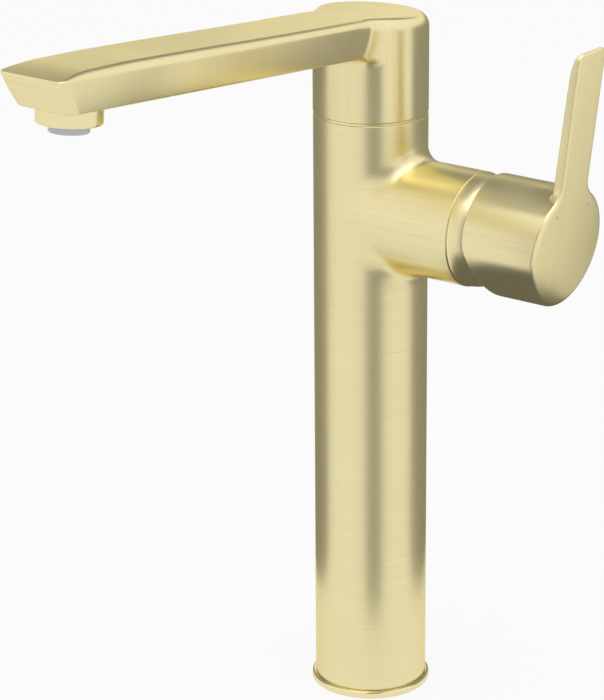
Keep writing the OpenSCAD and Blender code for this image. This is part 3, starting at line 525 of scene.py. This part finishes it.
def handle_field(points):
    """Slanted hub and upright lever in one, cut off by the leaning face and hollow for the stem."""
    x, y, z = points.T
    rise = z - BRANCH_Z
    out = (x - FACE_X) * math.cos(FACE_LEAN) - rise * math.sin(FACE_LEAN)
    up = (x - FACE_X) * math.sin(FACE_LEAN) + rise * math.cos(FACE_LEAN)
    slant = (HUB_BACK_X - x) * math.cos(HUB_SLANT) - rise * math.sin(HUB_SLANT)
    hub = round_cut(np.hypot(y, rise) - HUB_R, np.maximum(HUB_BACK_X - x, slant), HUB_BACK_ROUND)
    side = np.abs(y) - LEVER_HALF
    top = up - LEVER_LEN
    thick = LEVER_ROOT_T + (LEVER_TIP_T - LEVER_ROOT_T) * np.clip(up / LEVER_LEN, 0, 1) - LEVER_EDGE_T
    swept = np.maximum(top + LEVER_SWEEP, 0) / LEVER_SWEEP
    deep = np.maximum(-out - LEVER_EDGE_T, 0) / thick + 1e-3
    far = np.hypot(swept, deep)
    rear = (far - 1) * far / np.hypot(swept / LEVER_SWEEP, deep / thick)
    blade = np.maximum(round_cut(side, top, LEVER_CORNER), rear)
    blade = np.maximum(blade, round_cut(side, rear, LEVER_SIDE_ROUND))
    blade = np.maximum(blade, LEVER_FOOT - up)
    neck = LEVER_NECK_BACK + (LEVER_NECK_ROUND - LEVER_NECK_BACK) * ramp(out, -LEVER_ROOT_T - 1, -0.5)
    joined = round_join(hub, blade, neck)
    edge = HUB_ROUND + (LEVER_EDGE - HUB_ROUND) * ramp(up, HUB_R - EDGE_BLEND, HUB_R + EDGE_BLEND)
    body = round_cut(joined, out, edge)
    dx = x - PIVOT_X
    cavity = np.sqrt(dx * dx + y * y + rise * rise) - CAVITY_R
    stem_along = dx * math.cos(STEM_RISE) + rise * math.sin(STEM_RISE)
    stem_up = rise * math.cos(STEM_RISE) - dx * math.sin(STEM_RISE)
    socket = np.maximum(np.abs(y) - SOCKET_HALF, np.abs(stem_up) - SOCKET_HALF)
    socket = np.maximum(socket, stem_along - SOCKET_END)
    screw = np.maximum(np.hypot(x - GRUB_X, y) - GRUB_BORE_R, rise)
    hollow = np.minimum(cavity, np.minimum(np.maximum(socket, -stem_along), screw))
    return np.maximum(body, -hollow)


def make_handle():
    reach = LEVER_LEN * math.sin(FACE_LEAN)
    low = (HUB_BACK_X - 1, -HUB_R - 1, BRANCH_Z - HUB_R - 1)
    high = (FACE_X + reach + 2, HUB_R + 1, BRANCH_Z + LEVER_LEN + 1)
    return field_mesh("handle_casting", handle_field, low, high, FIELD_STEP)


def make_mark(name, side):
    """Low enamel dot let into the hub's face."""
    r, h = MARK_R, MARK_RISE
    c, s = math.cos(FACE_LEAN), math.sin(FACE_LEAN)
    centre = (FACE_X + MARK_UP * s, side * MARK_SIDE, BRANCH_Z + MARK_UP * c)
    dome = [(r * math.cos(a), h * math.sin(a)) for a in np.linspace(0, math.pi / 2 * 0.98, 6)]
    profile = [(AXIS_R, -MARK_SUNK), (r, -MARK_SUNK)] + dome + [(AXIS_R, h)]
    piece = lathe(name, profile, "z")
    lean = Matrix.Rotation(math.pi / 2 + FACE_LEAN, 4, "Y")
    piece.data.transform(Matrix.Translation(Vector(centre) * MM) @ lean)
    return piece


# ---------- Materials ----------

GOLD = (0.89, 0.795, 0.465, 1)
GOLD_DEEP = (0.84, 0.74, 0.41, 1)
GOLD_EDGE = (0.96, 0.91, 0.66, 1)
NOISE_SPAN = (0.3, 0.7)
GRAIN_SCALE = 900.0
MOTTLE_DARKENING = 0.06


def new_material(name):
    material = bpy.data.materials.new(name)
    material.use_nodes = True
    nodes, links = material.node_tree.nodes, material.node_tree.links
    return material, nodes, links, nodes["Principled BSDF"]


def object_noise(nodes, links, stretch, scale, detail=3.0):
    """Noise in object space, stretched by a factor per axis."""
    coords = nodes.new("ShaderNodeTexCoord")
    mapping = nodes.new("ShaderNodeMapping")
    mapping.inputs["Scale"].default_value = stretch
    noise = nodes.new("ShaderNodeTexNoise")
    noise.inputs["Scale"].default_value = scale
    noise.inputs["Detail"].default_value = detail
    links.new(coords.outputs["Object"], mapping.inputs["Vector"])
    links.new(mapping.outputs["Vector"], noise.inputs["Vector"])
    return noise.outputs["Fac"]


def remap(nodes, links, value, low, high):
    """Noise between the ends of NOISE_SPAN becomes low to high."""
    node = nodes.new("ShaderNodeMapRange")
    node.inputs["From Min"].default_value = NOISE_SPAN[0]
    node.inputs["From Max"].default_value = NOISE_SPAN[1]
    node.inputs["To Min"].default_value = low
    node.inputs["To Max"].default_value = high
    links.new(value, node.inputs["Value"])
    return node.outputs["Result"]


def mix_colour(nodes, links, factor, a, b):
    node = nodes.new("ShaderNodeMix")
    node.data_type = "RGBA"
    node.inputs["A"].default_value = a
    node.inputs["B"].default_value = b
    links.new(factor, node.inputs["Factor"])
    return node.outputs["Result"]


def brushed_metal(
    name, stretch, tangent_axis, colours=(GOLD, GOLD_DEEP), rough=(0.29, 0.34), grain=0.000004,
    edge=GOLD_EDGE,
):
    """Metal with fine brush lines. stretch is large across the lines and small along them."""
    material, nodes, links, shader = new_material(name)
    lines = object_noise(nodes, links, stretch, 1.0, 4.0)
    cloud = object_noise(nodes, links, (1, 1, 1), 28.0, 2.0)
    colour = mix_colour(nodes, links, remap(nodes, links, lines, 0, 1), *colours)
    links.new(colour, shader.inputs["Base Color"])
    both = nodes.new("ShaderNodeMath")
    both.operation = "ADD"
    links.new(remap(nodes, links, lines, rough[0], rough[1]), both.inputs[0])
    links.new(remap(nodes, links, cloud, -0.015, 0.02), both.inputs[1])
    links.new(both.outputs["Value"], shader.inputs["Roughness"])
    bump = nodes.new("ShaderNodeBump")
    bump.inputs["Strength"].default_value = 0.5
    bump.inputs["Distance"].default_value = grain
    links.new(lines, bump.inputs["Height"])
    links.new(bump.outputs["Normal"], shader.inputs["Normal"])
    tangent = nodes.new("ShaderNodeTangent")
    tangent.direction_type = "RADIAL"
    tangent.axis = tangent_axis
    links.new(tangent.outputs["Tangent"], shader.inputs["Tangent"])
    shader.inputs["Metallic"].default_value = 1.0
    shader.inputs["Specular Tint"].default_value = edge
    shader.inputs["Anisotropic"].default_value = 0.45
    return material


def plain_material(name, colour, roughness, bump_depth=0.00002):
    """Moulded, turned or lapped stuff with a faint mottle and grain."""
    material, nodes, links, shader = new_material(name)
    mottle = object_noise(nodes, links, (1, 1, 1), 60.0)
    grain = object_noise(nodes, links, (1, 1, 1), GRAIN_SCALE, 2.0)
    dark = tuple(c * (1 - MOTTLE_DARKENING) for c in colour[:3]) + (1,)
    mottled = mix_colour(nodes, links, remap(nodes, links, mottle, 0, 1), colour, dark)
    links.new(mottled, shader.inputs["Base Color"])
    links.new(remap(nodes, links, mottle, roughness - 0.04, roughness + 0.06), shader.inputs["Roughness"])
    bump = nodes.new("ShaderNodeBump")
    bump.inputs["Strength"].default_value = 0.4
    bump.inputs["Distance"].default_value = bump_depth
    links.new(grain, bump.inputs["Height"])
    links.new(bump.outputs["Normal"], shader.inputs["Normal"])
    return material


def paint(piece, material):
    piece.data.materials.clear()
    piece.data.materials.append(material)


COLUMN_GOLD = brushed_metal("column_gold", (14, 14, 2600), "Z")
BRANCH_GOLD = brushed_metal("branch_gold", (2600, 14, 14), "X")
SPOUT_GOLD = brushed_metal("spout_gold", (14, 2600, 14), "Y")
LEVER_GOLD = brushed_metal("lever_gold", (14, 2600, 14), "Z")
TURNED_GOLD = brushed_metal("turned_gold", (14, 14, 2600), "Z", rough=(0.16, 0.22), grain=0.000002)
RAW_BRASS = brushed_metal(
    "raw_brass", (30, 30, 1200), "Z", ((0.62, 0.46, 0.20, 1), (0.52, 0.38, 0.16, 1)), (0.3, 0.42))
COPPER = brushed_metal(
    "copper", (40, 40, 300), "Z", ((0.72, 0.38, 0.24, 1), (0.62, 0.31, 0.19, 1)), (0.22, 0.34))
STEEL = brushed_metal(
    "steel", (60, 60, 1200), "Z", ((0.62, 0.63, 0.65, 1), (0.52, 0.53, 0.56, 1)), (0.2, 0.32),
    edge=(1, 1, 1, 1))
RUBBER = plain_material("rubber", (0.03, 0.03, 0.033, 1), 0.62)
WHITE_PLASTIC = plain_material("white_plastic", (0.80, 0.80, 0.77, 1), 0.42)
CERAMIC = plain_material("ceramic", (0.86, 0.86, 0.83, 1), 0.16, bump_depth=0.000005)
LILAC = plain_material("lilac_plastic", (0.75, 0.75, 0.82, 1), 0.38)
ORANGE = plain_material("orange_enamel", (0.92, 0.66, 0.40, 1), 0.3)
BLUE = plain_material("blue_enamel", (0.72, 0.71, 0.55, 1), 0.3)

NODE_LOOKS = {
    RUBBER: (
        "base_gasket", "nipple_seal", "lower_swivel_seal", "upper_swivel_seal", "aerator_washer",
        "port_seal"),
    RAW_BRASS: ("inlet_foot", "valve_block", "nipple", "retaining_nut"),
    COPPER: ("hot_tube", "cold_tube"),
    STEEL: ("stop_pin", "spout_screw", "aerator_screen", "pivot_pin", "stem", "handle_screw"),
    WHITE_PLASTIC: (
        "glide_sleeve", "cartridge_base", "cartridge_housing", "disc_carrier", "rotor", "stem_bushing"),
    CERAMIC: ("fixed_disc", "moving_disc"),
    LEVER_GOLD: ("handle_plug",),
}


def dress():
    """Builds each refined piece, and gives every kept node its material."""
    gold = "brushed_gold"
    pieces = [
        (make_base_ring(), TURNED_GOLD, "base_ring", "column", gold),
        (make_riser(), COLUMN_GOLD, "riser", "column", gold),
        (make_slip_ring(), COLUMN_GOLD, "slip_ring", "column", gold),
        (make_tee(), COLUMN_GOLD, "tee_body", "column", gold),
        (make_collar(), BRANCH_GOLD, "collar", "column", gold),
        (make_spout(), SPOUT_GOLD, "spout", "swivel_spout", gold),
        (make_aerator_housing(), TURNED_GOLD, "aerator_housing", "swivel_spout", gold),
        (make_aerator_insert(), LILAC, "aerator_insert", "swivel_spout", "lilac_plastic"),
        (make_handle(), LEVER_GOLD, "handle", "lever", gold),
        (make_mark("hot_dot", -1), ORANGE, "hot_mark", "lever", "orange_mark"),
        (make_mark("cold_dot", 1), BLUE, "cold_mark", "lever", "blue_mark"),
    ]
    for piece, material, node, body, slot in pieces:
        paint(piece, material)
        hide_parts(node)
        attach(piece, body)
    for material, names in NODE_LOOKS.items():
        for name in names:
            paint(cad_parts[name], material)


# ---------- Camera, floor and light ----------

# The camera, solved from the photograph: place in metres, and its right and up directions.
CAMERA_AT = Vector((0.73540, -1.02243, 0.59705))
CAMERA_RIGHT = Vector((0.80010, 0.59983, -0.00688))
CAMERA_UP = Vector((-0.19719, 0.27382, 0.94135))
FOCAL_PIXELS = 3279.75
IMAGE_HEIGHT = 700
SENSOR_MM = 36.0
FLOOR_HALF = 12.0
FLOOR_GLOW = 0.9
STUDIO_GREY = 0.6
LAMP_AT = (0.2, -0.4, 1.8)
LAMP_SIZE = 1.2
LAMP_WATTS = 6

# Grey studio flags beside the object: the dark parts that its metal shows next to the white.
FLAGS = [
    # (name, centre, facing, width, height, level)
    ("front_flag", (0.0732, -0.0821, 0.15), (-0.665, 0.747, 0), 0.056, 0.30, 0.37),
    ("right_flag", (0.0201, 0.1252, 0.15), (-0.469, -0.883, 0), 0.238, 0.30, 0.32),
    ("left_flag", (-0.12, -0.01, 0.15), (1, 0, 0), 0.150, 0.30, 0.31),
    ("under_flag", (0.081, -0.02, 0.175), (0, 0, 1), 0.08, 0.08, 0.16),
    ("top_flag", (-0.12, 0.11, 0.45), (0, 0, -1), 0.28, 0.42, 0.25),
]


def make_camera():
    data = bpy.data.cameras.new("camera")
    data.sensor_width = SENSOR_MM
    data.sensor_fit = "AUTO"
    data.lens = FOCAL_PIXELS * SENSOR_MM / IMAGE_HEIGHT
    data.clip_start = 0.05
    data.clip_end = 50
    camera = bpy.data.objects.new("camera", data)
    back = CAMERA_RIGHT.cross(CAMERA_UP)
    turn = Matrix((CAMERA_RIGHT, CAMERA_UP, back)).transposed().to_4x4()
    camera.matrix_world = Matrix.Translation(CAMERA_AT) @ turn
    bpy.context.scene.collection.objects.link(camera)
    bpy.context.scene.camera = camera


def seen_rays(nodes, links):
    """1 for the camera and for what metal or glass shows, 0 for light that falls on the object."""
    path = nodes.new("ShaderNodeLightPath")
    share = path.outputs["Is Camera Ray"]
    for ray in ("Is Glossy Ray", "Is Transmission Ray"):
        node = nodes.new("ShaderNodeMath")
        node.operation = "MAXIMUM"
        links.new(share, node.inputs[0])
        links.new(path.outputs[ray], node.inputs[1])
        share = node.outputs["Value"]
    return share


def flat_piece(name, half_w, half_h):
    """Rectangle about its own origin, facing up."""
    mesh = bpy.data.meshes.new(name)
    corners = [(-half_w, -half_h, 0), (half_w, -half_h, 0), (half_w, half_h, 0), (-half_w, half_h, 0)]
    mesh.from_pydata(corners, [], [(0, 1, 2, 3)])
    return link(name, mesh)


def make_floor():
    """Pale floor that shows white, in reflections too, and keeps the object's shadow."""
    floor = flat_piece("floor", FLOOR_HALF, FLOOR_HALF)
    material, nodes, links, shader = new_material("floor_white")
    shader.inputs["Base Color"].default_value = (0.9, 0.9, 0.9, 1)
    shader.inputs["Roughness"].default_value = 0.9
    shader.inputs["Specular IOR Level"].default_value = 0.0
    glow = nodes.new("ShaderNodeEmission")
    glow.inputs["Color"].default_value = (1, 1, 1, 1)
    glow.inputs["Strength"].default_value = 1.0
    share = nodes.new("ShaderNodeMath")
    share.operation = "MULTIPLY"
    share.inputs[1].default_value = FLOOR_GLOW
    mix = nodes.new("ShaderNodeMixShader")
    links.new(seen_rays(nodes, links), share.inputs[0])
    links.new(share.outputs["Value"], mix.inputs["Fac"])
    links.new(shader.outputs["BSDF"], mix.inputs[1])
    links.new(glow.outputs["Emission"], mix.inputs[2])
    links.new(mix.outputs["Shader"], nodes["Material Output"].inputs["Surface"])
    paint(floor, material)


def make_world():
    """Plain soft light from all round, which shows white to the camera and in reflections."""
    world = bpy.data.worlds.new("studio")
    bpy.context.scene.world = world
    world.use_nodes = True
    nodes, links = world.node_tree.nodes, world.node_tree.links
    level = nodes.new("ShaderNodeMath")
    level.operation = "MAXIMUM"
    level.inputs[0].default_value = STUDIO_GREY
    links.new(seen_rays(nodes, links), level.inputs[1])
    links.new(level.outputs["Value"], nodes["Background"].inputs["Strength"])
    nodes["Background"].inputs["Color"].default_value = (1, 1, 1, 1)


def make_flag(name, centre, facing, width, height, level):
    """Grey card that shows only in reflections. It blocks no light and the camera doesn't see it."""
    flag = flat_piece(name, width / 2, height / 2)
    turn = Vector(facing).to_track_quat("Z", "Y").to_matrix().to_4x4()
    flag.matrix_world = Matrix.Translation(centre) @ turn
    material, nodes, links, shader = new_material(name)
    nodes.remove(shader)
    glow = nodes.new("ShaderNodeEmission")
    glow.inputs["Strength"].default_value = level
    links.new(glow.outputs["Emission"], nodes["Material Output"].inputs["Surface"])
    paint(flag, material)
    flag.visible_camera = False
    flag.visible_diffuse = False
    flag.visible_shadow = False


def make_lamp():
    """Wide soft lamp overhead, for the shadow at the foot."""
    data = bpy.data.lights.new("overhead", "AREA")
    data.energy = LAMP_WATTS
    data.size = LAMP_SIZE
    lamp = bpy.data.objects.new("overhead", data)
    lamp.location = LAMP_AT
    bpy.context.scene.collection.objects.link(lamp)


dress()
make_camera()
make_floor()
make_world()
for flag in FLAGS:
    make_flag(*flag)
make_lamp()
bpy.context.scene.view_settings.view_transform = "Standard"
